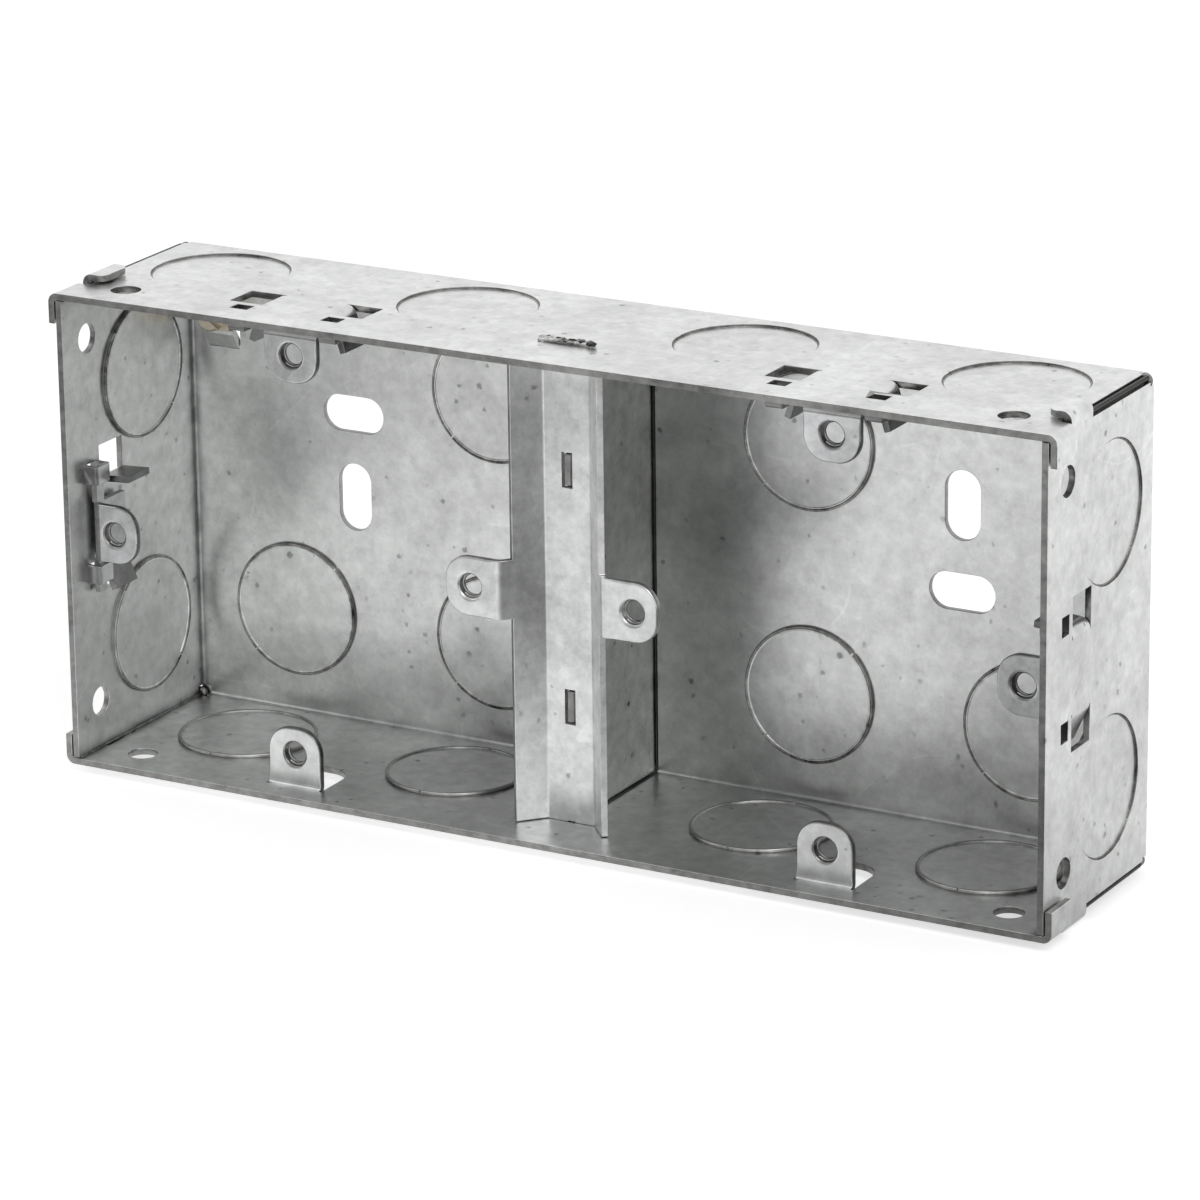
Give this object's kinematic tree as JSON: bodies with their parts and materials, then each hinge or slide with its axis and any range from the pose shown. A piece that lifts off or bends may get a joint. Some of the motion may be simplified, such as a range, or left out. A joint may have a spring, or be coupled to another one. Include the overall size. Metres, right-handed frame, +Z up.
{
  "type": "flush back box",
  "caption": "Flush back box folded from galvanised sheet, with a partition, adjustable screw lugs, knockouts and fixing slots.",
  "frame": {"origin": "centre of the back's outer face, which rests against the wall of the recess", "axes": "+X along the box's length, +Y into the wall, +Z up; the open front faces -Y"},
  "size_m": [0.1606, 0.035, 0.0746],
  "materials": {
    "galvanised_sheet": "mottled zinc, satin",
    "partition_sheet": "mottled zinc, satin",
    "divider_sheet": "mottled zinc, satin",
    "lug_sheet": "zinc plated, satin",
    "earth_brass": "dull brass"
  },
  "bodies": {
    "box": {"box_shell": "galvanised_sheet", "partition_bridge": "partition_sheet", "divider_plate": "divider_sheet", "earth_washer": "earth_brass", "earth_screw": "earth_brass"},
    "top_left_slider": {"top_left_lug": "lug_sheet"},
    "top_right_slider": {"top_right_lug": "lug_sheet"},
    "left_end_slider": {"left_end_lug": "lug_sheet"},
    "right_end_slider": {"right_end_lug": "lug_sheet"}
  },
  "joints": [
    {"name": "top_left_slide", "type": "slide", "parent": "box", "child": "top_left_slider", "axis": [1, 0, 0], "range_m": [-0.00255, 0.00015]},
    {"name": "top_right_slide", "type": "slide", "parent": "box", "child": "top_right_slider", "axis": [1, 0, 0], "range_m": [-0.00245, 0.00025]},
    {"name": "left_end_slide", "type": "slide", "parent": "box", "child": "left_end_slider", "axis": [0, 0, 1], "range_m": [-0.00065, 0.0022]},
    {"name": "right_end_slide", "type": "slide", "parent": "box", "child": "right_end_slider", "axis": [0, 0, 1], "range_m": [-0.00045, 0.0024]}
  ]
}
